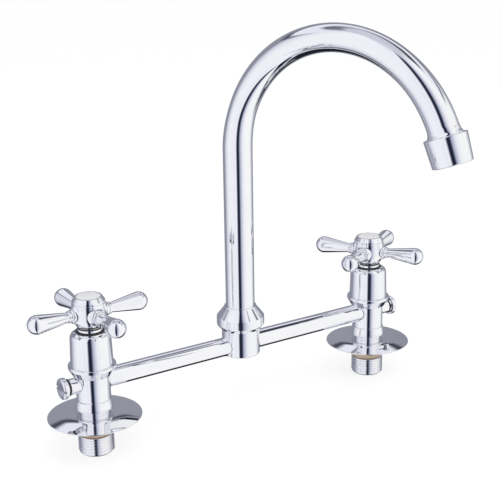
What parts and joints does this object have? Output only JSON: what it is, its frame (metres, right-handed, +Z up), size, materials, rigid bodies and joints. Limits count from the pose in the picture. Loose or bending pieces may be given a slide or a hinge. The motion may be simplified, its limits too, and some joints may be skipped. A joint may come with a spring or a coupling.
{
  "type": "bridge kitchen faucet",
  "caption": "Deck-mounted bridge faucet: side valves with ball-ended cross handles on threaded inlet shanks, a level bridge, and a high swivelling gooseneck spout with a screw-on aerator.",
  "frame": {"origin": "on the counter top, midway between the two inlet shanks, under the spout's swivel axis", "axes": "+Z up along the swivel axis; +X from the hot side to the cold side, along the bridge; -Y towards the user at the sink"},
  "size_m": [0.2742, 0.1793, 0.2447],
  "materials": {
    "chrome_plate": "polished chrome plate",
    "brass_machined": "machined, unplated",
    "rubber_black": "matte",
    "gasket_tan": "matte fibre washer",
    "ceramic_disc": "lapped",
    "index_white": "glazed, bare",
    "steel_small": "plain",
    "insert_plastic": "moulded"
  },
  "bodies": {
    "base": {"left_inlet_shank": "chrome_plate", "left_escutcheon": "chrome_plate", "left_deck_gasket": "gasket_tan", "left_valve_body": "chrome_plate", "left_side_plug": "chrome_plate", "left_plug_seal": "rubber_black", "left_bell_cover": "chrome_plate", "left_seat_seal": "rubber_black", "left_fixed_disc": "ceramic_disc", "left_cartridge_body": "brass_machined", "left_body_oring": "rubber_black", "left_bridge_tube": "chrome_plate", "right_inlet_shank": "chrome_plate", "right_escutcheon": "chrome_plate", "right_deck_gasket": "gasket_tan", "right_valve_body": "chrome_plate", "right_side_plug": "chrome_plate", "right_plug_seal": "rubber_black", "right_bell_cover": "chrome_plate", "right_seat_seal": "rubber_black", "right_fixed_disc": "ceramic_disc", "right_cartridge_body": "brass_machined", "right_body_oring": "rubber_black", "right_bridge_tube": "chrome_plate", "bridge_tee": "chrome_plate", "spout_nut": "chrome_plate"},
    "left_handle": {"left_spindle": "brass_machined", "left_spindle_oring": "rubber_black", "left_spindle_clip": "steel_small", "left_moving_disc": "ceramic_disc", "left_handle_hub": "chrome_plate", "left_handle_arm_a": "chrome_plate", "left_handle_arm_b": "chrome_plate", "left_handle_arm_c": "chrome_plate", "left_handle_arm_d": "chrome_plate", "left_handle_screw": "steel_small", "left_index_cap": "chrome_plate", "left_index_disc": "index_white"},
    "right_handle": {"right_spindle": "brass_machined", "right_spindle_oring": "rubber_black", "right_spindle_clip": "steel_small", "right_moving_disc": "ceramic_disc", "right_handle_hub": "chrome_plate", "right_handle_arm_a": "chrome_plate", "right_handle_arm_b": "chrome_plate", "right_handle_arm_c": "chrome_plate", "right_handle_arm_d": "chrome_plate", "right_handle_screw": "steel_small", "right_index_cap": "chrome_plate", "right_index_disc": "index_white"},
    "spout": {"spout_tube": "chrome_plate", "spout_tail": "brass_machined", "spout_retainer": "steel_small", "spout_oring_lower": "rubber_black", "spout_oring_upper": "rubber_black", "aerator_housing": "chrome_plate", "aerator_washer": "rubber_black", "aerator_insert": "insert_plastic"}
  },
  "joints": [
    {"name": "left_handle_turn", "type": "hinge", "parent": "base", "child": "left_handle", "pos_m": [-0.1016, 0, 0], "axis": [0, 0, 1], "range_deg": [0, 90]},
    {"name": "right_handle_turn", "type": "hinge", "parent": "base", "child": "right_handle", "pos_m": [0.1016, 0, 0], "axis": [0, 0, 1], "range_deg": [-29, 61]},
    {"name": "spout_swivel", "type": "hinge", "parent": "base", "child": "spout", "pos_m": [0, 0, 0], "axis": [0, 0, 1], "continuous": true}
  ]
}
